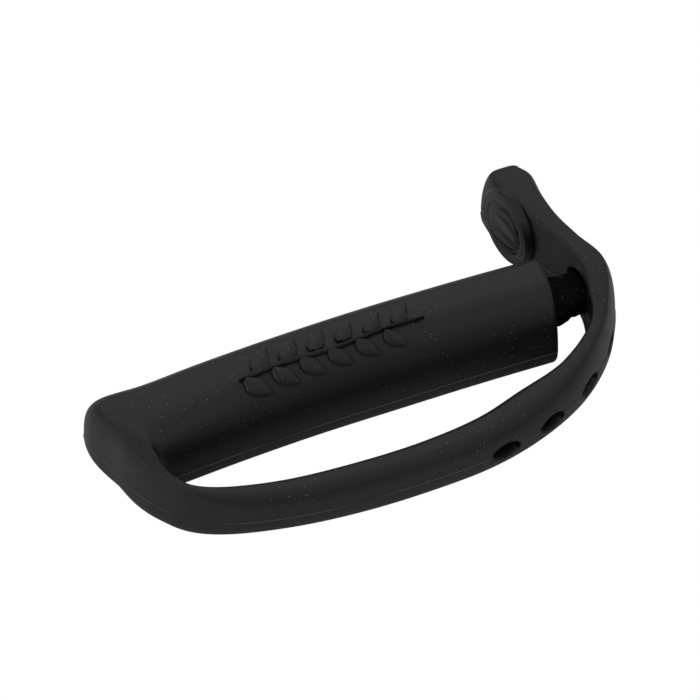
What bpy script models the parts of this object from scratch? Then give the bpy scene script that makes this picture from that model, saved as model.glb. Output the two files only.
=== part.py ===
"""An elastic strap capo for a guitar, drawn in millimetres and built in metres.

A rigid core lies in a silicone sleeve that presses on the strings. The sleeve runs on round its left
corner into a strap that passes behind the guitar's neck, and the strap's end hooks over the core's nose.
The moulding is drawn once, as a row of stations from the bar's right end round to the pull tab's tip.
The strap is cut into links, each hinged to the one before it on the strap's outer face, so it can open.

Drawing frame: x runs along the bar towards the nose, y from the strings towards the bar's back, z across
the bar, with the mould's parting plane at z = 0 and the origin at the right end of the pressing edge.
"""
import math
from collections import namedtuple

import bmesh
import bpy
from mathutils import Matrix, Vector

MM = 0.001

# Overall sizes of the drawing, used to put the part's origin under the middle of its box
LEFT_END = -83.46
RIGHT_END = 14.68
STRAP_SIDE = -19.73
TAB_SIDE = 37.40
DEPTH_BELOW = 4.9

# The core, and the room that the sleeve keeps round it
CORE_LEFT = -77.0
CORE_RIGHT = 1.5
CORE_FRONT = 4.0
CORE_BACK = 12.9
CORE_LOW = 0.1
CORE_HIGH = 6.1
CORE_EDGE = 1.0
CORE_TAPER = 1.5
CORE_TAPER_INSET = 0.8
NOSE_TIP = 9.7
CLEARANCE = 0.3

# The nose's sections outside the sleeve: x, front, back, low and high
NOSE_SECTIONS = (
    (4.1, 4.2, 12.9, 0.9, 5.9),
    (8.9, 5.2, 12.6, 1.9, 5.5),
    (NOSE_TIP, 5.9, 12.0, 2.5, 4.9),
)

# The strap's holes and the socket that the nose sits in
HOLE_LENGTH = 5.6
HOLE_HEIGHT = 3.2
HOLE_FLARE = 1.5
SOCKET_LENGTH = 11.0
SOCKET_HEIGHT = 8.4
SOCKET_DEPTH = 3.2
SOCKET_MIDDLE_Z = 3.2
HOLE_OVERSHOOT = 1.0
SOCKET_OVERSHOOT = 3.0
CUT_REACH = 12.0

# The raised oval on the pull tab
OVAL_LENGTH = 13.5
OVAL_HEIGHT = 14.2
OVAL_RISE = 0.8
OVAL_TAPER = 0.94
OVAL_HOLLOW = 0.72
OVAL_MIDDLE_Z = 2.7
OVAL_ROOT = 2.0
OVAL_FLOOR = 0.1
OVAL_CLEAR = 4.0

# The rounding of the moulding's two ends: how far it reaches past the last section and how much it draws in
BAR_END_REACH = 0.9
BAR_END_INSET = 0.9
TIP_REACH = 1.4
TIP_INSET = 1.5

# How finely the moulding is drawn
RING_SIDES = 20
SLEEVE_STEPS = 44
LINK_STEPS = 4
UPRIGHT_STEPS = 8
ROUNDING_STEPS = 3
OVAL_SIDES = 24
SHARP_ANGLE = 40

# The gap between neighbouring links, and how far the sections are flattened at their top and bottom
LINK_GAP = 0.4
FLAT_SHARE = 1.05

# Station numbers where the strap is cut, from its root to the pull tab
CUTS = (12.0, 13.0, 14.0, 15.0, 15.75, 16.68, 17.68, 18.72, 19.72, 22.3)
HOLE_STATIONS = (16.24, 17.2, 18.22, 19.24)
SOCKET_STATION = 20.8
OVAL_STATION = 24.2

Station = namedtuple("Station", "outer inner top bottom top_square bottom_square")

# The moulding's outline: the outer and inner edge of each section on the parting plane, how far it rises above
# and below that plane, and how square its upper and lower halves are
STATIONS = (
    Station((1.1, 16.5), (-0.4, -0.1), 11.9, 4.9, 2.1, 2.8),
    Station((-14.0, 16.8), (-14.0, 0.1), 12.15, 4.9, 2.1, 2.8),
    Station((-31.0, 16.9), (-30.0, 0.0), 12.25, 4.9, 2.1, 2.8),
    Station((-47.0, 16.7), (-45.0, -0.2), 12.0, 4.9, 2.1, 2.8),
    Station((-61.0, 16.2), (-59.0, -0.9), 11.4, 4.9, 2.2, 2.8),
    Station((-72.5, 15.5), (-69.5, -1.7), 10.5, 4.9, 2.4, 2.8),
    Station((-81.4, 15.1), (-73.6, -2.1), 9.9, 4.7, 2.8, 2.6),
    Station((-83.5, 11.3), (-75.1, -2.9), 9.6, 4.6, 2.9, 2.4),
    Station((-81.8, 5.0), (-75.4, -4.1), 9.0, 4.6, 2.8, 2.3),
    Station((-80.6, -0.8), (-75.2, -5.5), 8.2, 4.6, 2.6, 2.2),
    Station((-78.1, -6.4), (-74.2, -7.5), 7.3, 4.3, 2.4, 2.2),
    Station((-73.9, -11.9), (-71.8, -9.6), 6.5, 4.2, 2.3, 2.2),
    Station((-67.2, -15.8), (-66.0, -10.9), 5.7, 4.2, 2.2, 2.2),
    Station((-56.0, -18.6), (-56.0, -12.3), 5.0, 4.3, 2.2, 2.2),
    Station((-44.0, -19.6), (-44.0, -13.1), 4.9, 4.7, 2.2, 2.2),
    Station((-32.0, -19.7), (-32.0, -13.0), 4.9, 4.7, 2.2, 2.2),
    Station((-20.0, -18.9), (-20.7, -11.5), 5.0, 4.7, 2.2, 2.2),
    Station((-9.3, -16.1), (-11.7, -8.7), 5.4, 4.7, 2.2, 2.2),
    Station((0.5, -11.0), (-2.5, -6.2), 6.1, 4.7, 2.3, 2.2),
    Station((8.2, -3.7), (5.0, -1.2), 7.0, 4.8, 2.5, 2.8),
    Station((12.8, 3.6), (7.6, 4.9), 8.2, 4.9, 2.7, 3.4),
    Station((14.7, 10.6), (8.6, 10.6), 9.1, 4.9, 2.8, 3.4),
    Station((12.4, 17.2), (7.5, 16.2), 9.4, 4.9, 2.8, 3.0),
    Station((10.8, 23.0), (5.4, 21.6), 9.8, 4.9, 2.8, 2.6),
    Station((10.5, 28.8), (3.3, 27.4), 10.2, 4.9, 2.9, 2.5),
    Station((10.8, 33.4), (1.7, 32.4), 10.2, 4.8, 3.2, 2.5),
    Station((10.2, 36.0), (1.4, 36.0), 9.5, 4.2, 3.6, 2.6),
)
TIP_STATION = len(STATIONS) - 1


def place(x, y, z):
    """A point of the drawing, in metres, in the part's own frame."""
    middle_x = (LEFT_END + RIGHT_END) / 2
    middle_y = (STRAP_SIDE + TAB_SIDE) / 2
    return Vector((x - middle_x, y - middle_y, z + DEPTH_BELOW)) * MM


def smooth_value(before, start, end, after, share):
    """Catmull-Rom curve from start to end, which also heeds the value on each side."""
    return 0.5 * (
        2 * start
        + (end - before) * share
        + (2 * before - 5 * start + 4 * end - after) * share**2
        + (3 * start - before - 3 * end + after) * share**3
    )


def station_at(number):
    """The moulding's section at a whole or part station number."""
    first = min(int(number), TIP_STATION - 1)
    share = number - first
    near = [STATIONS[min(max(first + step, 0), TIP_STATION)] for step in (-1, 0, 1, 2)]

    def mixed(field):
        return smooth_value(*(getattr(station, field) for station in near), share)

    def mixed_point(field):
        return tuple(smooth_value(*(getattr(station, field)[axis] for station in near), share) for axis in (0, 1))

    bottom = min(mixed("bottom"), DEPTH_BELOW)
    squares = (mixed("top_square"), mixed("bottom_square"))
    return Station(mixed_point("outer"), mixed_point("inner"), mixed("top"), bottom, *squares)


def middle_of(number):
    """The middle of the section, on the parting plane."""
    station = station_at(number)
    return (Vector(station.outer) + Vector(station.inner)) / 2


def outward_at(number):
    """The direction that the outer face looks in, on the parting plane."""
    station = station_at(number)
    return (Vector(station.outer) - Vector(station.inner)).normalized()


def moved_along(number, distance):
    """The station number that lies a short way further along the moulding, in millimetres."""
    step = 0.01
    low = max(number - step, 0.0)
    high = min(number + step, float(TIP_STATION))
    speed = (middle_of(high) - middle_of(low)).length / (high - low)
    return number + distance / speed


def section_ring(station, inset=0.0, push=Vector((0.0, 0.0))):
    """One closed ring of points: two half superellipses, one above the parting plane and one below it."""
    outer = Vector(station.outer)
    inner = Vector(station.inner)
    across = (inner - outer).normalized()
    outer = outer + across * inset + push
    inner = inner - across * inset + push
    ring = []
    for side in range(RING_SIDES):
        angle = math.tau * (side + 0.5) / RING_SIDES
        upper = math.sin(angle) > 0
        square = station.top_square if upper else station.bottom_square
        reach = math.copysign(abs(math.cos(angle)) ** (2 / square), math.cos(angle))
        rise = math.copysign(abs(math.sin(angle)) ** (2 / square), math.sin(angle))
        rise = max(-1.0, min(1.0, rise * FLAT_SHARE))
        height = station.top if upper else station.bottom
        flat = outer.lerp(inner, 0.5 - 0.5 * reach)
        ring.append(place(flat.x, flat.y, (height - inset) * rise))
    return ring


def solid_from_rings(name, rings):
    """A closed solid skinned over a row of rings, with flat ends and its faces pointing out."""
    shape = bmesh.new()
    rows = [[shape.verts.new(point) for point in ring] for ring in rings]
    for row, following in zip(rows, rows[1:]):
        for side in range(len(row)):
            beside = (side + 1) % len(row)
            shape.faces.new((row[side], row[beside], following[beside], following[side]))
    shape.faces.new(rows[0])
    shape.faces.new(rows[-1])
    bmesh.ops.recalc_face_normals(shape, faces=shape.faces)
    mesh = bpy.data.meshes.new(name)
    shape.to_mesh(mesh)
    shape.free()
    solid = bpy.data.objects.new(name, mesh)
    bpy.context.scene.collection.objects.link(solid)
    return solid


def moulding_rings(start, end, steps):
    """Rings spaced evenly along the moulding, kept half a gap clear of each neighbour."""
    first = moved_along(start, LINK_GAP / 2) if start > 0 else start
    last = moved_along(end, -LINK_GAP / 2) if end < TIP_STATION else end
    return [section_ring(station_at(first + (last - first) * step / steps)) for step in range(steps + 1)]


def rounded_end(number, reach, inset, ahead):
    """Closing rings that round the moulding over at one of its two ends, from the outside in."""
    station = station_at(number)
    across = outward_at(number)
    along = Vector((-across.y, across.x)) * ahead
    rings = []
    for step in range(1, ROUNDING_STEPS + 1):
        angle = math.pi / 2 * step / ROUNDING_STEPS
        rings.append(section_ring(station, inset * (1 - math.cos(angle)), along * reach * math.sin(angle)))
    return rings


def material(name, colour, roughness, metallic=0.0):
    """A plain Principled material."""
    finish = bpy.data.materials.new(name)
    finish.use_nodes = True
    shader = finish.node_tree.nodes["Principled BSDF"]
    shader.inputs["Base Color"].default_value = (*colour, 1.0)
    shader.inputs["Roughness"].default_value = roughness
    shader.inputs["Metallic"].default_value = metallic
    finish.diffuse_color = (*colour, 1.0)
    return finish


def finish_node(solid, finish, cut=None):
    """Gives a node its material and smooth shading, and its origin on the hinge at the cut it starts from."""
    solid.data.materials.append(finish)
    solid.data.shade_smooth()
    solid.data.set_sharp_from_angle(angle=math.radians(SHARP_ANGLE))
    if cut is not None:
        hinge = place(*station_at(cut).outer, 0.0)
        solid.data.transform(Matrix.Translation(-hinge))
        solid.location = hinge


def cut_away(solid, cutter):
    """Takes the cutter's volume out of the solid."""
    cutter.hide_render = True
    cutter.display_type = "WIRE"
    tool = solid.modifiers.new("cut_" + cutter.name, "BOOLEAN")
    tool.operation = "DIFFERENCE"
    tool.solver = "EXACT"
    tool.object = cutter


def add_on(solid, lump):
    """Joins the lump to the solid."""
    lump.hide_render = True
    lump.display_type = "WIRE"
    tool = solid.modifiers.new("join_" + lump.name, "BOOLEAN")
    tool.operation = "UNION"
    tool.solver = "EXACT"
    tool.object = lump


def oval_prism(name, centre, facing, size, start, end, flare=1.0):
    """An upright oval pushed along a level direction, from start to end in front of its centre.

    centre is a point (x, y, z), size is (length along the moulding, height), and flare is how much larger
    the oval is at its end than at its start.
    """
    along = Vector((-facing.y, facing.x))
    length, height = size
    rings = []
    for reach, growth in ((start, 1.0), (end, flare)):
        ring = []
        for side in range(OVAL_SIDES):
            angle = math.tau * side / OVAL_SIDES
            flat = centre.xy + along * (length / 2 * growth * math.cos(angle)) + facing * reach
            ring.append(place(flat.x, flat.y, centre.z + height / 2 * growth * math.sin(angle)))
        rings.append(ring)
    return solid_from_rings(name, rings)


def rounded_box_ring(x, front, back, low, high, edge=CORE_EDGE):
    """A rounded rectangle across the core, at one place along it."""
    ring = []
    corners = ((back - edge, high - edge, 0), (front + edge, high - edge, 90),
               (front + edge, low + edge, 180), (back - edge, low + edge, 270))
    for y, z, turn in corners:
        for step in range(ROUNDING_STEPS + 1):
            angle = math.radians(turn + 90 * step / ROUNDING_STEPS)
            ring.append(place(x, y + edge * math.cos(angle), z + edge * math.sin(angle)))
    return ring


def core_ring(x, extra):
    """The core's straight section, grown by extra on every side."""
    return rounded_box_ring(x, CORE_FRONT - extra, CORE_BACK + extra, CORE_LOW - extra, CORE_HIGH + extra)


def make_bar_core(finish):
    """The rigid core: a straight rod whose wedge-shaped nose stands out of the sleeve's right end."""
    rings = [core_ring(CORE_LEFT, -CORE_TAPER_INSET)]
    rings.append(core_ring(CORE_LEFT + CORE_TAPER, 0.0))
    rings.append(core_ring(CORE_RIGHT, 0.0))
    rings += [rounded_box_ring(*section) for section in NOSE_SECTIONS]
    core = solid_from_rings("bar_core", rings)
    finish_node(core, finish)
    return core


def make_bar_sleeve(finish):
    """The silicone round the core, with the pressing edge and the corner that the strap grows out of."""
    rings = rounded_end(0.0, BAR_END_REACH, BAR_END_INSET, -1.0)[::-1]
    rings += moulding_rings(0.0, CUTS[0], SLEEVE_STEPS)
    sleeve = solid_from_rings("bar_sleeve", rings)
    bed = [core_ring(CORE_LEFT - CLEARANCE, CLEARANCE), core_ring(NOSE_TIP, CLEARANCE)]
    cut_away(sleeve, solid_from_rings("core_bed", bed))
    finish_node(sleeve, finish)
    return sleeve


def cut_hole(solid, name, number):
    """An adjustment hole: a small oval in the outer face that widens towards the inner one."""
    mouth = Vector((*station_at(number).outer, 0.0))
    size = (HOLE_LENGTH, HOLE_HEIGHT)
    hole = oval_prism(name, mouth, outward_at(number), size, HOLE_OVERSHOOT, -CUT_REACH, HOLE_FLARE)
    cut_away(solid, hole)


def make_strap_link(number, start, end, holes, finish):
    """One link of the strap, between two cuts, with the holes whose middles it holds."""
    link = solid_from_rings(f"strap_link_{number}", moulding_rings(start, end, LINK_STEPS))
    for index, hole in enumerate(holes):
        if start < hole < end:
            cut_hole(link, f"hole_{index + 1}", hole)
    finish_node(link, finish, start)
    return link


def make_strap_end(finish):
    """The strap's upright end, with the socket that the nose hooks into and a hole in its floor."""
    end = solid_from_rings("strap_end", moulding_rings(CUTS[-2], CUTS[-1], UPRIGHT_STEPS))
    facing = outward_at(SOCKET_STATION)
    wall = Vector((*station_at(SOCKET_STATION).inner, SOCKET_MIDDLE_Z))
    socket_size = (SOCKET_LENGTH, SOCKET_HEIGHT)
    cut_away(end, oval_prism("nose_socket", wall, facing, socket_size, -SOCKET_OVERSHOOT, SOCKET_DEPTH))
    floor = Vector((*station_at(SOCKET_STATION).inner, 0.0))
    hole_size = (HOLE_LENGTH, HOLE_HEIGHT)
    cut_away(end, oval_prism("socket_hole", floor, facing, hole_size, HOLE_OVERSHOOT, CUT_REACH))
    finish_node(end, finish, CUTS[-2])
    return end


def make_pull_tab(finish):
    """The tab that a thumb pushes, with a raised oval on the side that faces the bar."""
    rings = moulding_rings(CUTS[-1], TIP_STATION, UPRIGHT_STEPS)
    rings += rounded_end(TIP_STATION, TIP_REACH, TIP_INSET, 1.0)
    tab = solid_from_rings("pull_tab", rings)
    face = Vector((*station_at(OVAL_STATION).inner, OVAL_MIDDLE_Z))
    facing = -outward_at(OVAL_STATION)
    rim_size = (OVAL_LENGTH, OVAL_HEIGHT)
    hollow_size = (OVAL_LENGTH * OVAL_HOLLOW, OVAL_HEIGHT * OVAL_HOLLOW)
    add_on(tab, oval_prism("oval_rim", face, facing, rim_size, -OVAL_ROOT, OVAL_RISE, OVAL_TAPER))
    cut_away(tab, oval_prism("oval_hollow", face, facing, hollow_size, OVAL_FLOOR, OVAL_CLEAR))
    finish_node(tab, finish, CUTS[-1])
    return tab


def clear_scene():
    """Removes whatever the scene holds."""
    for old in list(bpy.data.objects):
        bpy.data.objects.remove(old)


def main():
    clear_scene()
    silicone = material("silicone", (0.018, 0.018, 0.019), 0.62)
    core_plastic = material("core_plastic", (0.012, 0.012, 0.012), 0.8)
    make_bar_core(core_plastic)
    make_bar_sleeve(silicone)
    for number, (start, end) in enumerate(zip(CUTS, CUTS[1:-1]), start=1):
        make_strap_link(number, start, end, HOLE_STATIONS, silicone)
    make_strap_end(silicone)
    make_pull_tab(silicone)


main()
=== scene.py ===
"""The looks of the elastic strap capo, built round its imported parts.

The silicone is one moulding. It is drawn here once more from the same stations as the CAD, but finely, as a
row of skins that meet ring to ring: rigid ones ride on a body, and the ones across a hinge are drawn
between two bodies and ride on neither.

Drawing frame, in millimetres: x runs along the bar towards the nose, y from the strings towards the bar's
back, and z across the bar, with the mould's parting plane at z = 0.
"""
import math
from collections import namedtuple

import bmesh
import bpy
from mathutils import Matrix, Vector, noise


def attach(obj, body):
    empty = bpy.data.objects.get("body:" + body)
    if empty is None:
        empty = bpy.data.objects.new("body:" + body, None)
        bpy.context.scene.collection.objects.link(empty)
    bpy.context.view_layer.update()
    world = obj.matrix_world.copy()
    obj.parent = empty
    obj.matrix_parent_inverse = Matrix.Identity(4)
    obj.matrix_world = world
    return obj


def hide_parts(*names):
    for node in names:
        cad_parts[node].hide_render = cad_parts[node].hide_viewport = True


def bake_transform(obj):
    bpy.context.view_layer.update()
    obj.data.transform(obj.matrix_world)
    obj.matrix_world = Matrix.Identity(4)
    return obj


MM = 0.001

# Where the drawing lies in the row frame
LEFT_END = -83.46
RIGHT_END = 14.68
STRAP_SIDE = -19.73
TAB_SIDE = 37.40
DEPTH_BELOW = 4.9

# The core's nose and the rod just behind it: x, front, back, low and high of each section
NOSE_SECTIONS = (
    (-8.0, 4.0, 12.9, 0.1, 6.1),
    (1.5, 4.0, 12.9, 0.1, 6.1),
    (4.1, 4.2, 12.9, 0.9, 5.9),
    (8.9, 5.2, 12.6, 1.9, 5.5),
    (9.7, 5.9, 12.0, 2.5, 4.9),
)
NOSE_SIDES = 72
NOSE_RING_STEP = 0.35
NOSE_ROUNDNESS = 0.6
NOSE_LUMP = 0.35
NOSE_LUMP_FREQUENCY = 0.9
NOSE_LUMP_UPWARD = 0.6

# The opening in the bar's end that the nose stands in
NOSE_MIDDLE_Y = 8.45
NOSE_MIDDLE_Z = 3.1
COLLAR_HALF_WIDTH = 4.45
COLLAR_HALF_HEIGHT = 3.0
COLLAR_ROUNDNESS = 0.35
COLLAR_GAP = 0.35
COLLAR_DEPTH = 1.3
COLLAR_LIP = 0.25

# Holes and socket
HOLE_LENGTH = 5.8
HOLE_HEIGHT = 3.4
SOCKET_LENGTH = 9.8
SOCKET_HEIGHT = 6.6
SOCKET_DEPTH = 3.2
SOCKET_MIDDLE_Z = 3.5

# The thumb pad on the pull tab
PAD_LENGTH = 13.8
PAD_HEIGHT = 15.2
PAD_MIDDLE_Z = 3.2
RIB_TILT = 11.0
RIB_RISE = 0.75

# The mould's parting line
FLASH_PUSH = 0.11
FLASH_LEVELS = (0.1, 0.28)

# The rounding of the moulding's two ends
BAR_END_REACH = 0.9
BAR_END_INSET = 0.9
TIP_REACH = 1.4
TIP_INSET = 2.3

# How finely the skins are drawn
QUARTER_STEPS = 22
RING_STEP = 0.6
LENGTH_SAMPLES = 24
FEWEST_STEPS = 4
END_STEPS = 6
OVAL_SIDES = 64
SOFT_TOP = 0.08
FLAT_SHARE = 1.05
SHARP_ANGLE = 42
SOFT_ANGLE = 60

CUTS = (12.0, 13.0, 14.0, 15.0, 15.75, 16.68, 17.68, 18.72, 19.72, 22.3)
HOLE_STATIONS = (16.24, 17.2, 18.22, 19.24)
SOCKET_STATION = 20.65
PAD_STATION = 24.2
BEND_REACH = 1.7

# Where the sleeve hands over to the strap, and how far past its cut the fourth bend runs on
ROOT_STATION = 11.45
FIRST_HOLE_LEAD = 3.4

Station = namedtuple("Station", "outer inner top bottom top_square bottom_square")

STATIONS = (
    Station((1.1, 16.5), (-0.4, -0.1), 11.9, 4.9, 2.1, 2.8),
    Station((-14.0, 16.8), (-14.0, 0.1), 12.15, 4.9, 2.1, 2.8),
    Station((-31.0, 16.9), (-30.0, 0.0), 12.25, 4.9, 2.1, 2.8),
    Station((-47.0, 16.7), (-45.0, -0.2), 12.0, 4.9, 2.1, 2.8),
    Station((-61.0, 16.2), (-59.0, -0.9), 11.4, 4.9, 2.2, 2.8),
    Station((-72.5, 15.5), (-69.5, -1.7), 10.5, 4.9, 2.4, 2.8),
    Station((-81.4, 15.1), (-73.6, -2.1), 9.9, 4.7, 2.8, 2.6),
    Station((-83.5, 11.3), (-75.1, -2.9), 9.6, 4.6, 2.9, 2.4),
    Station((-81.8, 5.0), (-75.4, -4.1), 9.0, 4.6, 2.8, 2.3),
    Station((-80.6, -0.8), (-75.2, -5.5), 8.2, 4.6, 2.6, 2.2),
    Station((-78.1, -6.4), (-74.2, -7.5), 7.3, 4.3, 2.4, 2.2),
    Station((-73.9, -11.9), (-71.8, -9.6), 6.5, 4.2, 2.3, 2.2),
    Station((-67.2, -15.8), (-66.0, -10.9), 5.7, 4.2, 2.2, 2.2),
    Station((-56.0, -18.6), (-56.0, -12.3), 5.0, 4.3, 2.2, 2.2),
    Station((-44.0, -19.6), (-44.0, -13.1), 4.9, 4.7, 2.2, 2.2),
    Station((-32.0, -19.7), (-32.0, -13.0), 4.9, 4.7, 2.2, 2.2),
    Station((-20.0, -18.9), (-20.7, -11.5), 5.0, 4.7, 2.2, 2.2),
    Station((-9.3, -16.1), (-11.7, -8.7), 5.4, 4.7, 2.2, 2.2),
    Station((0.5, -11.0), (-2.5, -6.2), 6.1, 4.7, 2.3, 2.2),
    Station((8.2, -3.7), (5.0, -1.2), 7.0, 4.8, 2.5, 2.8),
    Station((12.8, 3.6), (7.6, 4.9), 8.2, 4.9, 2.7, 3.4),
    Station((14.7, 10.6), (8.6, 10.6), 9.1, 4.9, 2.8, 3.4),
    Station((12.4, 17.2), (7.5, 16.2), 9.4, 4.9, 2.8, 3.0),
    Station((10.8, 23.0), (5.4, 21.6), 9.8, 4.9, 2.8, 2.6),
    Station((10.5, 28.8), (3.3, 27.4), 10.2, 4.9, 2.9, 2.5),
    Station((10.8, 33.4), (1.7, 32.4), 10.2, 4.8, 3.2, 2.5),
    Station((10.2, 36.0), (1.4, 36.0), 9.7, 4.2, 2.7, 2.5),
)
TIP_STATION = len(STATIONS) - 1

# How much squarer the upper half of a section is on its inner or outer side, by station
INNER_EXTRA = {
    7: 0.5, 8: 1.2, 9: 1.3, 10: 0.8, 11: 0.3,
    19: 0.6, 20: 1.6, 21: 2.4, 22: 2.4, 23: 2.0, 24: 1.2, 25: 0.6,
}
OUTER_EXTRA = {17: -0.1, 18: -0.2, 19: -0.3, 20: -0.4, 21: -0.4, 22: -0.3}

# The adjustment holes and the socket: how far along its direction each ring lies and how large it is there
HOLE_PROFILE = ((1.0, 1.45), (0.0, 1.16), (-0.35, 1.0), (-3.2, 0.94), (-6.0, 1.1), (-8.0, 1.3))
HOLE_SQUARE = 1.75
SOCKET_PROFILE = ((-3.0, 1.2), (-0.2, 1.06), (0.35, 1.0), (SOCKET_DEPTH - 0.8, 0.97), (SOCKET_DEPTH, 0.8))
SOCKET_SQUARE = 2.4
SOCKET_HOLE_PROFILE = ((1.0, 0.9), (5.4, 1.0), (6.2, 1.1), (9.0, 1.4))

# From the pad's foot to its hollow: the share of the pad's size, and the height above the arm's inner edge
PAD_PROFILE = (
    (1.03, -1.0), (1.02, -0.2), (1.0, 0.1), (0.965, 0.4), (0.93, 0.55), (0.9, 0.45), (0.87, 0.42),
    (0.84, 0.55), (0.8, 0.62), (0.76, 0.6), (0.73, 0.5), (0.70, 0.2), (0.685, -0.2), (0.66, -0.35),
)
PAD_SIDES = 180
PAD_FLOOR_STEPS = 60

# The ribs in the hollow: the middle and half width of each, as shares of the hollow's half width
RIBS = ((-0.6, 0.15), (0.0, 0.3), (0.6, 0.15))
RIB_TAPER = 1.08
RIB_FOOT = 0.03
RIB_SHOULDER = 0.09
RIB_END = 0.02

# The raised sprig on the bar's flank, and how a ribbon of it rises across its width
RIBBON_PROFILE = (
    (-1.0, -0.5), (-0.98, 0.45), (-0.85, 0.62), (-0.45, 0.88), (0.0, 1.0),
    (0.45, 0.88), (0.85, 0.62), (0.98, 0.45), (1.0, -0.5),
)
ORNAMENT_ANGLE = math.radians(72)
ORNAMENT_RADIUS = 10.2
ORNAMENT_LIFT = 1.0
ORNAMENT_START = -58.0
ORNAMENT_END = -22.8
ORNAMENT_SHARP_ANGLE = 35
STEM_STEPS = 60
STEM_WIDTH = 0.6
STEM_THICK = 1.15
STEM_TAPER = 0.7
STEM_TIP = 0.2
STEM_OPENING = 12
STEM_WAVE = 0.35
STEM_WAVES = 1.5
LEAF_PAIRS = 6
LEAF_STEPS = 14
LEAF_REACH = 3.9
LEAF_LEAN = 3.4
LEAF_WIDTH = 1.6
LEAF_ROOT = 0.35
LEAF_BOW = 0.45
LEAF_BLUNT = 0.08
LEAF_FULLNESS = 0.75
LEAF_TIP = 0.1
LEAF_OFFSET = 0.45
LEAF_STAGGER = 0.25
LEAF_GROW = 1.08
LEAF_SHRINK = 0.03

# The silicone. Dust is the cell's width in millimetres, the speck's share of it, and the share of cells used
SILICONE_DARK = (0.0045, 0.0043, 0.0052)
SILICONE_PALE = (0.008, 0.0077, 0.0092)
SILICONE_ROUGHNESS = (0.4, 0.48)
SILICONE_SPECULAR = 0.5
CLOUD_SCALE = 90.0
PATCH_SCALE = 70.0
GRAIN_SCALE = 3200.0
GRAIN_STRENGTH = 0.18
GRAIN_DEPTH = 0.06
DUST = (0.17, 0.17, 0.175)
DUSTY_RANGE = (0.36, 0.62)
FINE_DUST = (0.8, 0.17, 0.45)
COARSE_DUST = (3.2, 0.05, 0.15)
# A painted highlight along the parting line's flash: its colour, its strength, the distances where it fades
# out and where it is full, and where it breaks
FLASH_HIGHLIGHT_COLOUR = (0.09, 0.09, 0.09)
FLASH_HIGHLIGHT_SHARE = 0.8
FLASH_HIGHLIGHT_FADE = 0.13
FLASH_HIGHLIGHT_FULL = 0.07
HIGHLIGHT_BREAK_RANGE = (0.3, 0.5)

# The core's plastic
CORE_DARK = (0.0012, 0.0012, 0.0013)
CORE_FLECK = (0.05, 0.05, 0.052)
CORE_FLECK_RANGE = (0.56, 0.74)
CORE_GRAIN_SCALE = 900.0
CORE_BUMP_STRENGTH = 0.8
CORE_BUMP_DEPTH = 0.25
CORE_ROUGHNESS = 0.85
CORE_SPECULAR = 0.12

# The camera: it aims at a point of the drawing, with its distance and the frame's width in metres
CAMERA_AIM = (-32.96, 14.26, 0.24)
CAMERA_AZIMUTH = -23.0
CAMERA_ELEVATION = 46.0
CAMERA_DISTANCE = 1.6
FRAME_WIDTH = 0.7 / 5.75
SENSOR_WIDTH = 36.0
CLIP_END = 20.0

# The table and the light, in metres and watts. The sky brightens from SKY_LOW to SKY_HIGH up from the horizon
FLOOR_HALF = 3.0
FLOOR_DROP = 0.0004
FLOOR_WHITE = (0.9, 0.9, 0.9, 1.0)
FLOOR_ROUGHNESS = 0.9
SKY_LOW = 0.03
SKY_HIGH = 0.42
SKY_DARK = 0.03
SKY_BRIGHT = 0.52
BACK_POWER = 0.9
BACK_SIZE = (1.4, 0.9)
BACK_PLACE = (0.2, 0.95, 1.0)
LEFT_POWER = 2.5
LEFT_SIZE = (2.0, 0.5)
LEFT_PLACE = (-1.4, -0.3, 0.38)

def place(x, y, z):
    """A point of the drawing, in metres, in the row frame."""
    middle_x = (LEFT_END + RIGHT_END) / 2
    middle_y = (STRAP_SIDE + TAB_SIDE) / 2
    return Vector((x - middle_x, y - middle_y, z + DEPTH_BELOW)) * MM


def smooth_value(before, start, end, after, share):
    """Catmull-Rom curve from start to end, which also heeds the value on each side."""
    return 0.5 * (
        2 * start
        + (end - before) * share
        + (2 * before - 5 * start + 4 * end - after) * share**2
        + (3 * start - before - 3 * end + after) * share**3
    )


def station_at(number):
    """The moulding's section at a whole or part station number."""
    first = min(int(number), TIP_STATION - 1)
    share = number - first
    near = [STATIONS[min(max(first + step, 0), TIP_STATION)] for step in (-1, 0, 1, 2)]

    def mixed(field):
        return smooth_value(*(getattr(station, field) for station in near), share)

    def mixed_point(field):
        return tuple(
            smooth_value(*(getattr(station, field)[axis] for station in near), share) for axis in (0, 1)
        )

    bottom = min(mixed("bottom"), DEPTH_BELOW)
    squares = (mixed("top_square"), mixed("bottom_square"))
    return Station(mixed_point("outer"), mixed_point("inner"), mixed("top"), bottom, *squares)


def middle_of(number):
    """The middle of the section, on the parting plane."""
    station = station_at(number)
    return (Vector(station.outer) + Vector(station.inner)) / 2


def outward_at(number):
    """The direction that the outer face looks in, on the parting plane."""
    station = station_at(number)
    return (Vector(station.outer) - Vector(station.inner)).normalized()


def moved_along(number, distance):
    """The station number that lies a short way further along the moulding, in millimetres."""
    step = 0.01
    low = max(number - step, 0.0)
    high = min(number + step, float(TIP_STATION))
    speed = (middle_of(high) - middle_of(low)).length / (high - low)
    return number + distance / speed


def soft_limit(value):
    """Holds a value to 1, turning over smoothly."""
    near = max(SOFT_TOP - abs(value - 1), 0) / SOFT_TOP
    return min(value, 1) - near * near * SOFT_TOP / 4


def signed_power(value, power):
    """A sine or cosine raised to a power with its sign kept, as a superellipse needs it."""
    return math.copysign(abs(value) ** power, value)


def half_shape(station, number, upper, inner_side):
    """The height and squareness of one quarter of a section."""
    if not upper:
        return station.bottom, station.bottom_square
    first = min(int(number), TIP_STATION - 1)
    share = number - first
    extra = INNER_EXTRA if inner_side else OUTER_EXTRA
    here, ahead = (extra.get(first + step, 0.0) for step in (0, 1))
    return station.top, station.top_square + here + (ahead - here) * share


def level_angle(level, height, square):
    """The angle at which a half section of that height and squareness reaches the level."""
    return math.asin((level / height) ** (square / 2))


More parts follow.
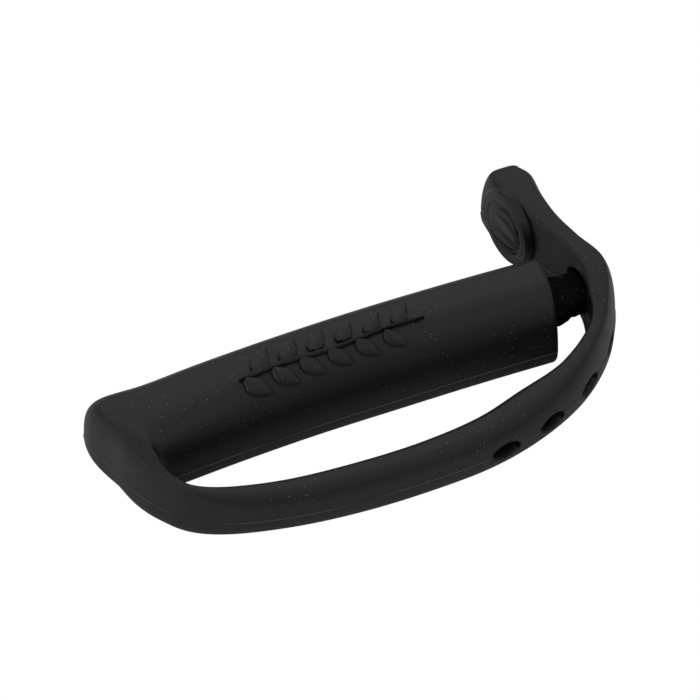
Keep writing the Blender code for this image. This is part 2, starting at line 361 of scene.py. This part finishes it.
def ring_angles(number):
    """The angles of a ring's points, with a close set on each side of the parting line."""
    angles = []
    for quarter in range(4):
        height, square = half_shape(station_at(number), number, quarter < 2, quarter in (1, 2))
        close = [level_angle(level, height, square) for level in FLASH_LEVELS]
        wide = [math.pi / 2 * step / QUARTER_STEPS for step in range(1, QUARTER_STEPS)]
        first = [0.0] + close + wide
        if quarter % 2:
            first = [math.pi / 2 - angle for angle in reversed(first[1:] + [math.pi / 2])]
        angles += [math.pi / 2 * quarter + angle for angle in first]
    return angles


def section_point(number, angle, inset=0.0, push=Vector((0.0, 0.0)), flash=0.0):
    """A point on the section's edge: angle 0 is the outer apex, a quarter turn on is the top."""
    station = station_at(number)
    outer = Vector(station.outer)
    inner = Vector(station.inner)
    across = (inner - outer).normalized()
    outer = outer + across * (inset - flash) + push
    inner = inner - across * (inset - flash) + push
    cosine, sine = math.cos(angle), math.sin(angle)
    height, square = half_shape(station, number, sine > 0, cosine < 0)
    reach = signed_power(cosine, 2 / square)
    rise = math.copysign(soft_limit(abs(sine) ** (2 / square) * FLAT_SHARE), sine)
    flat = outer.lerp(inner, 0.5 - 0.5 * reach)
    return place(flat.x, flat.y, (height - inset) * rise)


def section_ring(number, inset=0.0, push=Vector((0.0, 0.0))):
    """One closed ring of points round the moulding, with the flash standing out at the parting line."""
    ring = []
    for angle in ring_angles(number):
        at_line = abs(math.sin(angle)) < 1e-6
        ring.append(section_point(number, angle, inset, push, FLASH_PUSH if at_line else 0.0))
    return ring


def rings_between(start, end):
    """Rings about evenly spaced along the moulding's outer edge."""
    length = 0.0
    points = []
    for step in range(LENGTH_SAMPLES + 1):
        number = start + (end - start) * step / LENGTH_SAMPLES
        points.append(Vector(station_at(number).outer))
    for point, following in zip(points, points[1:]):
        length += (following - point).length
    steps = max(FEWEST_STEPS, math.ceil(length / RING_STEP))
    return [section_ring(start + (end - start) * step / steps) for step in range(steps + 1)]


def rounded_end(number, reach, inset, ahead):
    """Closing rings that round the moulding over at one of its two ends, from the outside in."""
    across = outward_at(number)
    along = Vector((-across.y, across.x)) * ahead
    rings = []
    for step in range(1, END_STEPS + 1):
        angle = math.pi / 2 * step / END_STEPS
        rings.append(section_ring(number, inset * (1 - math.cos(angle)), along * reach * math.sin(angle)))
    return rings


def new_piece(name, shape):
    """Turns a bmesh into an object of the scene."""
    bmesh.ops.recalc_face_normals(shape, faces=shape.faces)
    mesh = bpy.data.meshes.new(name)
    shape.to_mesh(mesh)
    shape.free()
    piece = bpy.data.objects.new(name, mesh)
    bpy.context.scene.collection.objects.link(piece)
    return piece


def skin_over(name, rings):
    """A closed solid skinned over a row of rings."""
    shape = bmesh.new()
    rows = [[shape.verts.new(point) for point in ring] for ring in rings]
    for row, following in zip(rows, rows[1:]):
        for side in range(len(row)):
            beside = (side + 1) % len(row)
            shape.faces.new((row[side], row[beside], following[beside], following[side]))
    shape.faces.new(rows[0])
    shape.faces.new(rows[-1])
    return new_piece(name, shape)


def finish_piece(piece, finish, sharp=SHARP_ANGLE):
    """Gives a piece its material and smooth shading with crisp edges."""
    piece.data.materials.clear()
    piece.data.materials.append(finish)
    piece.data.shade_smooth()
    piece.data.set_sharp_from_angle(angle=math.radians(sharp))


def cut_away(piece, cutter):
    """Takes the cutter's volume out of the piece, for good."""
    tool = piece.modifiers.new("cut", "BOOLEAN")
    tool.operation = "DIFFERENCE"
    tool.solver = "EXACT"
    tool.object = cutter
    graph = bpy.context.evaluated_depsgraph_get()
    mesh = bpy.data.meshes.new_from_object(piece.evaluated_get(graph))
    piece.modifiers.clear()
    piece.data = mesh
    bpy.data.objects.remove(cutter)


def oval_rings(centre, facing, size, profile, square):
    """Rings of an oval tool: profile lists how far along facing each ring lies and how large it is there."""
    along = Vector((-facing.y, facing.x))
    rings = []
    for reach, growth in profile:
        ring = []
        for side in range(OVAL_SIDES):
            angle = math.tau * (side + 0.5) / OVAL_SIDES
            cosine, sine = math.cos(angle), math.sin(angle)
            shift = signed_power(cosine, 2 / square) * size[0] / 2 * growth
            rise = signed_power(sine, 2 / square) * size[1] / 2 * growth
            flat = centre.xy + along * shift + facing * reach
            ring.append(place(flat.x, flat.y, centre.z + rise))
        rings.append(ring)
    return rings


def shader_tree(name):
    """A new material, with its node tree, its Principled shader and a helper that makes nodes."""
    finish = bpy.data.materials.new(name)
    finish.use_nodes = True
    tree = finish.node_tree
    shader = tree.nodes["Principled BSDF"]

    def add(kind, **values):
        node = tree.nodes.new(kind)
        for key, value in values.items():
            if key in node.inputs:
                node.inputs[key].default_value = value
            else:
                setattr(node, key, value)
        return node

    return finish, tree.links.new, shader, add


def ramp(add, link, source, low, high):
    """Maps a value to 0 below low and 1 above high, smoothly."""
    mapped = add("ShaderNodeMapRange", interpolation_type="SMOOTHSTEP")
    mapped.inputs["From Min"].default_value = low
    mapped.inputs["From Max"].default_value = high
    link(source, mapped.inputs["Value"])
    return mapped.outputs["Result"]


def product(add, link, first, second):
    """The product of two values, either of which may be a plain number."""
    node = add("ShaderNodeMath", operation="MULTIPLY")
    for socket, value in zip(node.inputs, (first, second)):
        if isinstance(value, (int, float)):
            socket.default_value = value
        else:
            link(value, socket)
    return node.outputs["Value"]


def mixed_colour(add, link, share, first, second):
    """A colour between first and second: each is a colour or another node's output."""
    node = add("ShaderNodeMix", data_type="RGBA")
    link(share, node.inputs["Factor"])
    sockets = [socket for socket in node.inputs if socket.type == "RGBA"]
    for socket, value in zip(sockets, (first, second)):
        if isinstance(value, tuple):
            socket.default_value = (*value, 1.0)
        else:
            link(value, socket)
    return [socket for socket in node.outputs if socket.type == "RGBA"][0]


def dust_mask(add, link, where, cell, size, share):
    """Fine specks: the middles of some cells of a Voronoi pattern."""
    cells = add("ShaderNodeTexVoronoi", Scale=1 / (cell * MM))
    link(where, cells.inputs["Vector"])
    speck = ramp(add, link, cells.outputs["Distance"], size, size * 0.5)
    chosen = add("ShaderNodeSeparateColor")
    link(cells.outputs["Color"], chosen.inputs["Color"])
    kept = ramp(add, link, chosen.outputs["Red"], 1 - share, 1 - share + 0.02)
    return product(add, link, speck, kept)


def make_silicone():
    """Matte black silicone: mottling, a fine grain, pale dust, and a painted highlight along the thin flash
    at the parting line.
    """
    finish, link, shader, add = shader_tree("silicone")
    where = add("ShaderNodeTexCoord").outputs["Object"]
    cloud = add("ShaderNodeTexNoise", Scale=CLOUD_SCALE, Detail=4.0)
    link(where, cloud.inputs["Vector"])
    base = mixed_colour(add, link, cloud.outputs["Fac"], SILICONE_DARK, SILICONE_PALE)
    patches = add("ShaderNodeTexNoise", Scale=PATCH_SCALE, Detail=3.0)
    link(where, patches.inputs["Vector"])
    dusty = ramp(add, link, patches.outputs["Fac"], *DUSTY_RANGE)
    fine = product(add, link, dust_mask(add, link, where, *FINE_DUST), dusty)
    coarse = dust_mask(add, link, where, *COARSE_DUST)
    both = add("ShaderNodeMath", operation="MAXIMUM")
    link(fine, both.inputs[0])
    link(coarse, both.inputs[1])
    dusted = mixed_colour(add, link, both.outputs["Value"], base, DUST)
    split = add("ShaderNodeSeparateXYZ")
    link(where, split.inputs["Vector"])
    off_line = add("ShaderNodeMath", operation="SUBTRACT")
    link(split.outputs["Z"], off_line.inputs[0])
    off_line.inputs[1].default_value = DEPTH_BELOW * MM
    distance = add("ShaderNodeMath", operation="ABSOLUTE")
    link(off_line.outputs["Value"], distance.inputs[0])
    # Painted highlight: the colour is lightened in a thin, broken band at the parting plane, standing in for
    # light caught by the flash
    at_line = ramp(add, link, distance.outputs["Value"], FLASH_HIGHLIGHT_FADE * MM, FLASH_HIGHLIGHT_FULL * MM)
    broken = ramp(add, link, patches.outputs["Fac"], *HIGHLIGHT_BREAK_RANGE)
    flash = product(add, link, product(add, link, at_line, broken), FLASH_HIGHLIGHT_SHARE)
    highlight_lined = mixed_colour(add, link, flash, dusted, FLASH_HIGHLIGHT_COLOUR)
    link(highlight_lined, shader.inputs["Base Color"])
    grain = add("ShaderNodeTexNoise", Scale=GRAIN_SCALE, Detail=2.0)
    link(where, grain.inputs["Vector"])
    bump = add("ShaderNodeBump", Strength=GRAIN_STRENGTH, Distance=GRAIN_DEPTH * MM)
    link(grain.outputs["Fac"], bump.inputs["Height"])
    link(bump.outputs["Normal"], shader.inputs["Normal"])
    worn = add("ShaderNodeMapRange")
    worn.inputs["To Min"].default_value = SILICONE_ROUGHNESS[0]
    worn.inputs["To Max"].default_value = SILICONE_ROUGHNESS[1]
    link(cloud.outputs["Fac"], worn.inputs["Value"])
    link(worn.outputs["Result"], shader.inputs["Roughness"])
    shader.inputs["Specular IOR Level"].default_value = SILICONE_SPECULAR
    return finish


def make_core_finish():
    """The core's rough black plastic, with a coarse cast grain and pale flecks of dust."""
    finish, link, shader, add = shader_tree("core_plastic")
    where = add("ShaderNodeTexCoord").outputs["Object"]
    rough = add("ShaderNodeTexNoise", Scale=CORE_GRAIN_SCALE, Detail=6.0, Roughness=0.7)
    link(where, rough.inputs["Vector"])
    flecks = ramp(add, link, rough.outputs["Fac"], *CORE_FLECK_RANGE)
    colour = mixed_colour(add, link, flecks, CORE_DARK, CORE_FLECK)
    link(colour, shader.inputs["Base Color"])
    bump = add("ShaderNodeBump", Strength=CORE_BUMP_STRENGTH, Distance=CORE_BUMP_DEPTH * MM)
    link(rough.outputs["Fac"], bump.inputs["Height"])
    link(bump.outputs["Normal"], shader.inputs["Normal"])
    shader.inputs["Roughness"].default_value = CORE_ROUGHNESS
    shader.inputs["Specular IOR Level"].default_value = CORE_SPECULAR
    return finish


def make_nose(finish):
    """The core's nose: a rounded wedge with a slightly uneven cast surface."""
    rows = []
    for section, following in zip(NOSE_SECTIONS, NOSE_SECTIONS[1:]):
        steps = max(2, math.ceil((following[0] - section[0]) / NOSE_RING_STEP))
        for step in range(steps):
            rows.append([a + (b - a) * step / steps for a, b in zip(section, following)])
    rows.append(list(NOSE_SECTIONS[-1]))
    rings = []
    for x, front, back, low, high in rows:
        ring = []
        for side in range(NOSE_SIDES):
            angle = math.tau * side / NOSE_SIDES
            cosine, sine = math.cos(angle), math.sin(angle)
            y = (front + back) / 2 + (back - front) / 2 * signed_power(cosine, NOSE_ROUNDNESS)
            z = (low + high) / 2 + (high - low) / 2 * signed_power(sine, NOSE_ROUNDNESS)
            lump = noise.noise(Vector([value * NOSE_LUMP_FREQUENCY for value in (x, y, z)])) * NOSE_LUMP
            ring.append(place(x, y + lump, z + lump * NOSE_LUMP_UPWARD))
        rings.append(ring)
    nose = skin_over("core_nose", rings)
    finish_piece(nose, finish, SOFT_ANGLE)
    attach(nose, "bar")
    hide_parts("bar_core")


def collar_ring(depth, growth):
    """A ring round the nose in the bar's slanted end, that far inside it."""
    station = station_at(0.0)
    lean = (station.outer[0] - station.inner[0]) / (station.outer[1] - station.inner[1])
    ring = []
    for angle in ring_angles(0.0):
        cosine, sine = math.cos(angle), math.sin(angle)
        y = NOSE_MIDDLE_Y + (COLLAR_HALF_WIDTH + growth) * signed_power(cosine, COLLAR_ROUNDNESS)
        z = NOSE_MIDDLE_Z + (COLLAR_HALF_HEIGHT + growth) * signed_power(sine, COLLAR_ROUNDNESS)
        x = station.inner[0] + lean * (y - station.inner[1]) + BAR_END_REACH - depth
        ring.append(place(x, y, z))
    return ring


def make_sleeve(finish):
    """The cushioned bar, its corner and the strap's root."""
    rings = [collar_ring(COLLAR_DEPTH, COLLAR_GAP)]
    rings.append(collar_ring(COLLAR_LIP, COLLAR_GAP))
    rings.append(collar_ring(0.0, COLLAR_GAP + COLLAR_LIP))
    rings += rounded_end(0.0, BAR_END_REACH, BAR_END_INSET, -1.0)[::-1]
    rings += rings_between(0.0, 4.0) + rings_between(4.0, 8.0)[1:] + rings_between(8.0, ROOT_STATION)[1:]
    sleeve = skin_over("sleeve_skin", rings)
    finish_piece(sleeve, finish)
    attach(sleeve, "bar")
    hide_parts("bar_sleeve")


def bend_piece(piece, start, end):
    """Works out a piece's span from one body to the next, which is not used, then bakes its placement into
    its mesh.
    """
    direction = Vector((*(middle_of(end) - middle_of(start)).normalized(), 0.0))
    first = max(point.dot(direction) for point in section_ring(start))
    last = min(point.dot(direction) for point in section_ring(end))
    base = place(*middle_of(start), 0.0)
    base -= direction * base.dot(direction)
    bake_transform(piece)


def make_bend(name, start, end, finish, nodes=()):
    """A skin across one hinge."""
    piece = skin_over(name, rings_between(start, end))
    finish_piece(piece, finish)
    bend_piece(piece, start, end)
    if nodes:
        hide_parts(*nodes)


def make_hole_link(number, start, end, hole, finish):
    """A rigid link of the strap with its adjustment hole."""
    link = skin_over(f"strap_hole_{number}", rings_between(start, end))
    mouth = Vector((*station_at(hole).outer, 0.0))
    rings = oval_rings(mouth, outward_at(hole), (HOLE_LENGTH, HOLE_HEIGHT), HOLE_PROFILE, HOLE_SQUARE)
    cut_away(link, skin_over("hole", rings))
    finish_piece(link, finish)
    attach(link, f"link_{number}")
    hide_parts(f"strap_link_{number}")


def make_hook(start, end, finish):
    """The strap's upright end, with the rounded socket for the nose."""
    hook = skin_over("hook_skin", rings_between(start, end))
    facing = outward_at(SOCKET_STATION)
    wall = Vector((*station_at(SOCKET_STATION).inner, SOCKET_MIDDLE_Z))
    size = (SOCKET_LENGTH, SOCKET_HEIGHT)
    cut_away(hook, skin_over("socket", oval_rings(wall, facing, size, SOCKET_PROFILE, SOCKET_SQUARE)))
    floor = Vector((*station_at(SOCKET_STATION).inner, 0.0))
    size = (HOLE_LENGTH, HOLE_HEIGHT)
    cut_away(hook, skin_over("hole", oval_rings(floor, facing, size, SOCKET_HOLE_PROFILE, HOLE_SQUARE)))
    finish_piece(hook, finish)
    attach(hook, "hook_end")
    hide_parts("strap_end")


def make_tab(start, finish):
    """The pull tab's plain body."""
    rings = rings_between(start, TIP_STATION) + rounded_end(TIP_STATION, TIP_REACH, TIP_INSET, 1.0)
    tab = skin_over("tab_skin", rings)
    finish_piece(tab, finish)
    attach(tab, "tab")
    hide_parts("pull_tab")


def smooth_step(low, high, value):
    """Rises smoothly from 0 at low to 1 at high, whichever of the two is the greater."""
    share = min(max((value - low) / (high - low), 0.0), 1.0)
    return share * share * (3 - 2 * share)


def rib_height(along, across):
    """The height of the pad's lens-shaped ribs at a place in its hollow, both measured from -1 to 1."""
    height = 0.0
    for middle, width in RIBS:
        spread = max(0.0, 1 - along * along * RIB_TAPER)
        off = abs(across - middle * math.sqrt(spread + 0.001))
        edge = smooth_step(width * spread + RIB_FOOT, width * spread - RIB_SHOULDER, off)
        height = max(height, edge * (spread > RIB_END))
    return height


def make_pad(finish):
    """The thumb pad: a raised oval with a rounded rim and a hollow with lens-shaped ribs."""
    facing = -outward_at(PAD_STATION)
    along = Vector((facing.y, -facing.x))
    if along.y < 0:
        along = -along
    centre = Vector((*station_at(PAD_STATION).inner, PAD_MIDDLE_Z))
    tilt = math.radians(RIB_TILT)

    def pad_point(angle, share, height):
        shift = math.cos(angle) * share * PAD_LENGTH / 2
        rise = math.sin(angle) * share * PAD_HEIGHT / 2
        flat = centre.xy + along * shift + facing * height
        return place(flat.x, flat.y, centre.z + rise)

    rings = []
    for share, height in PAD_PROFILE:
        rings.append([pad_point(math.tau * side / PAD_SIDES, share, height) for side in range(PAD_SIDES)])
    last_share, last_height = PAD_PROFILE[-1]
    for step in range(1, PAD_FLOOR_STEPS):
        share = last_share * (1 - step / PAD_FLOOR_STEPS)
        ring = []
        for side in range(PAD_SIDES):
            angle = math.tau * side / PAD_SIDES
            u = math.cos(angle - tilt) * share / last_share
            v = math.sin(angle - tilt) * share / last_share
            ring.append(pad_point(angle, share, last_height + RIB_RISE * rib_height(u, v)))
        rings.append(ring)
    pad = skin_over("thumb_pad", rings)
    finish_piece(pad, finish, SOFT_ANGLE)
    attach(pad, "tab")


def number_at_x(x):
    """The station number along the bar whose middle has that x."""
    low, high = 0.0, 6.0
    for _ in range(30):
        middle = (low + high) / 2
        if middle_of(middle).x > x:
            low = middle
        else:
            high = middle
    return (low + high) / 2


def flank_point(x, angle, lift):
    """A point that lies lift above the bar's flank, with the angle counted from the inner apex to the top."""
    number = number_at_x(x)
    turn = math.pi - angle
    step = 0.02
    tangent = (section_point(number, turn + step) - section_point(number, turn - step)).normalized()
    normal = tangent.cross(Vector((1.0, 0.0, 0.0)))
    if normal.z < 0:
        normal = -normal
    return section_point(number, turn) + normal * lift * MM


def raised_ribbon(shape, path, widths):
    """Adds a closed raised ribbon along a path on the flank, each place an x and a height up the flank."""
    rows = []
    for index, (point, width) in enumerate(zip(path, widths)):
        before = path[max(index - 1, 0)]
        after = path[min(index + 1, len(path) - 1)]
        side = Vector((before[1] - after[1], after[0] - before[0])).normalized()
        row = []
        for off, rise in RIBBON_PROFILE:
            x = point[0] + side.x * off * width
            v = point[1] + side.y * off * width
            place_on = flank_point(x, ORNAMENT_ANGLE + v / ORNAMENT_RADIUS, ORNAMENT_LIFT * rise)
            row.append(shape.verts.new(place_on))
        rows.append(row)
    for row, following in zip(rows, rows[1:]):
        for first in range(len(row)):
            beside = (first + 1) % len(row)
            shape.faces.new((row[first], row[beside], following[beside], following[first]))
    shape.faces.new(rows[0])
    shape.faces.new(rows[-1])


def leaf_path(root_x, side, grow):
    """A leaf's middle line and half widths, from the stem out to its tip."""
    path = []
    widths = []
    for step in range(LEAF_STEPS + 1):
        share = step / LEAF_STEPS
        bow = math.sin(math.pi * share) * LEAF_BOW
        path.append((root_x + LEAF_LEAN * grow * share - bow, side * (LEAF_ROOT + LEAF_REACH * grow * share)))
        swell = math.sin(math.pi * (LEAF_BLUNT + (1 - LEAF_BLUNT) * share)) ** LEAF_FULLNESS
        widths.append(max(LEAF_TIP, LEAF_WIDTH * grow * swell))
    return path, widths


def make_ornament(finish):
    """A generic raised sprig of leaves along the bar's flank."""
    shape = bmesh.new()
    stem = []
    widths = []
    for step in range(STEM_STEPS + 1):
        share = step / STEM_STEPS
        x = ORNAMENT_START + (ORNAMENT_END - ORNAMENT_START) * share
        stem.append((x, STEM_WAVE * math.sin(math.tau * STEM_WAVES * share)))
        blunt = min(1.0, STEM_TIP + STEM_OPENING * min(share, 1 - share))
        widths.append(STEM_WIDTH * (STEM_THICK - STEM_TAPER * share) * blunt)
    raised_ribbon(shape, stem, widths)
    spacing = (ORNAMENT_END - ORNAMENT_START - LEAF_LEAN) / LEAF_PAIRS
    for pair in range(LEAF_PAIRS):
        for side in (-1, 1):
            root_x = ORNAMENT_START + spacing * (pair + LEAF_OFFSET + LEAF_STAGGER * side)
            raised_ribbon(shape, *leaf_path(root_x, side, LEAF_GROW - LEAF_SHRINK * pair))
    ornament = new_piece("flank_ornament", shape)
    finish_piece(ornament, finish, ORNAMENT_SHARP_ANGLE)
    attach(ornament, "bar")


def make_strap(finish):
    """The whole strap, from its root to the pull tab."""
    middles = [(CUTS[index] + CUTS[index + 1]) / 2 for index in range(3)]
    stops = [ROOT_STATION] + middles + [moved_along(CUTS[3], FIRST_HOLE_LEAD)]
    for number in range(1, 5):
        make_bend(f"strap_bend_{number}", stops[number - 1], stops[number], finish,
                  [f"strap_link_{number}"])
    start = stops[-1]
    for number, hole in zip(range(5, 9), HOLE_STATIONS):
        free = moved_along(CUTS[number - 1], BEND_REACH)
        make_bend(f"strap_bend_{number}", start, free, finish)
        start = moved_along(CUTS[number], -BEND_REACH)
        make_hole_link(number, free, start, hole, finish)
    free = moved_along(CUTS[8], BEND_REACH)
    make_bend("strap_bend_9", start, free, finish)
    tab_start = moved_along(CUTS[9], -BEND_REACH)
    make_hook(free, tab_start, finish)
    tab_free = moved_along(CUTS[9], BEND_REACH)
    make_bend("tab_bend", tab_start, tab_free, finish)
    make_tab(tab_free, finish)


def make_camera():
    """A long lens at the viewing angle, so that the view is nearly parallel."""
    azimuth = math.radians(CAMERA_AZIMUTH)
    elevation = math.radians(CAMERA_ELEVATION)
    back = Vector((math.sin(azimuth) * math.cos(elevation), -math.cos(azimuth) * math.cos(elevation),
                   math.sin(elevation)))
    data = bpy.data.cameras.new("camera")
    data.sensor_width = SENSOR_WIDTH
    data.lens = data.sensor_width * CAMERA_DISTANCE / FRAME_WIDTH
    data.clip_end = CLIP_END
    camera = bpy.data.objects.new("camera", data)
    camera.location = place(*CAMERA_AIM) + back * CAMERA_DISTANCE
    camera.rotation_euler = back.to_track_quat("Z", "Y").to_euler()
    bpy.context.scene.collection.objects.link(camera)
    bpy.context.scene.camera = camera


def make_light(name, power, size, position):
    """A soft rectangular light, aimed at the object."""
    data = bpy.data.lights.new(name, "AREA")
    data.energy = power
    data.shape = "RECTANGLE"
    data.size, data.size_y = size
    light = bpy.data.objects.new(name, data)
    light.location = position
    light.rotation_euler = Vector(position).to_track_quat("Z", "Y").to_euler()
    bpy.context.scene.collection.objects.link(light)


def make_floor():
    """A white table: one sheet that the camera sees, and one that bounces light and takes shadows."""
    for name, glow in (("floor_look", True), ("floor_bounce", False)):
        shape = bmesh.new()
        signs = ((-1, -1), (1, -1), (1, 1), (-1, 1))
        corners = [shape.verts.new((x * FLOOR_HALF, y * FLOOR_HALF, -FLOOR_DROP)) for x, y in signs]
        shape.faces.new(corners)
        floor = new_piece(name, shape)
        finish, _, shader, _ = shader_tree(name)
        shader.inputs["Base Color"].default_value = (0.0, 0.0, 0.0, 1.0) if glow else FLOOR_WHITE
        shader.inputs["Roughness"].default_value = FLOOR_ROUGHNESS
        if glow:
            shader.inputs["Specular IOR Level"].default_value = 0.0
            shader.inputs["Emission Color"].default_value = (1.0, 1.0, 1.0, 1.0)
            shader.inputs["Emission Strength"].default_value = 1.0
        floor.data.materials.append(finish)
        floor.visible_camera = glow
        floor.visible_diffuse = not glow
        floor.visible_glossy = not glow
        floor.visible_shadow = False


def make_studio():
    """An overhead sky that darkens to the horizon, a soft light behind and a long one on the left."""
    world = bpy.data.worlds.new("studio")
    bpy.context.scene.world = world
    world.use_nodes = True
    tree = world.node_tree
    background = tree.nodes["Background"]
    background.inputs["Color"].default_value = (1.0, 1.0, 1.0, 1.0)
    split = tree.nodes.new("ShaderNodeSeparateXYZ")
    tree.links.new(tree.nodes.new("ShaderNodeTexCoord").outputs["Generated"], split.inputs["Vector"])
    rise = tree.nodes.new("ShaderNodeMapRange")
    rise.interpolation_type = "SMOOTHSTEP"
    rise.inputs["From Min"].default_value = SKY_LOW
    rise.inputs["From Max"].default_value = SKY_HIGH
    rise.inputs["To Min"].default_value = SKY_DARK
    rise.inputs["To Max"].default_value = SKY_BRIGHT
    tree.links.new(split.outputs["Z"], rise.inputs["Value"])
    tree.links.new(rise.outputs["Result"], background.inputs["Strength"])
    make_light("back_softbox", BACK_POWER, BACK_SIZE, BACK_PLACE)
    make_light("left_fill", LEFT_POWER, LEFT_SIZE, LEFT_PLACE)
    bpy.context.scene.view_settings.view_transform = "Standard"


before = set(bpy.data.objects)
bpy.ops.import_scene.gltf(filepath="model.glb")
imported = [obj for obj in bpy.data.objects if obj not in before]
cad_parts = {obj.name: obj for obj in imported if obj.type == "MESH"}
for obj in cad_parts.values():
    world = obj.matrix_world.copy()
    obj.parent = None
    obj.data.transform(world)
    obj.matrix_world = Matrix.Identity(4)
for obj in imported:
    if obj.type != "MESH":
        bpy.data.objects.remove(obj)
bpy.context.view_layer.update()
make_camera()
silicone = make_silicone()
core_plastic = make_core_finish()
make_strap(silicone)
make_sleeve(silicone)
make_nose(core_plastic)
make_pad(silicone)
make_ornament(silicone)
make_floor()
make_studio()
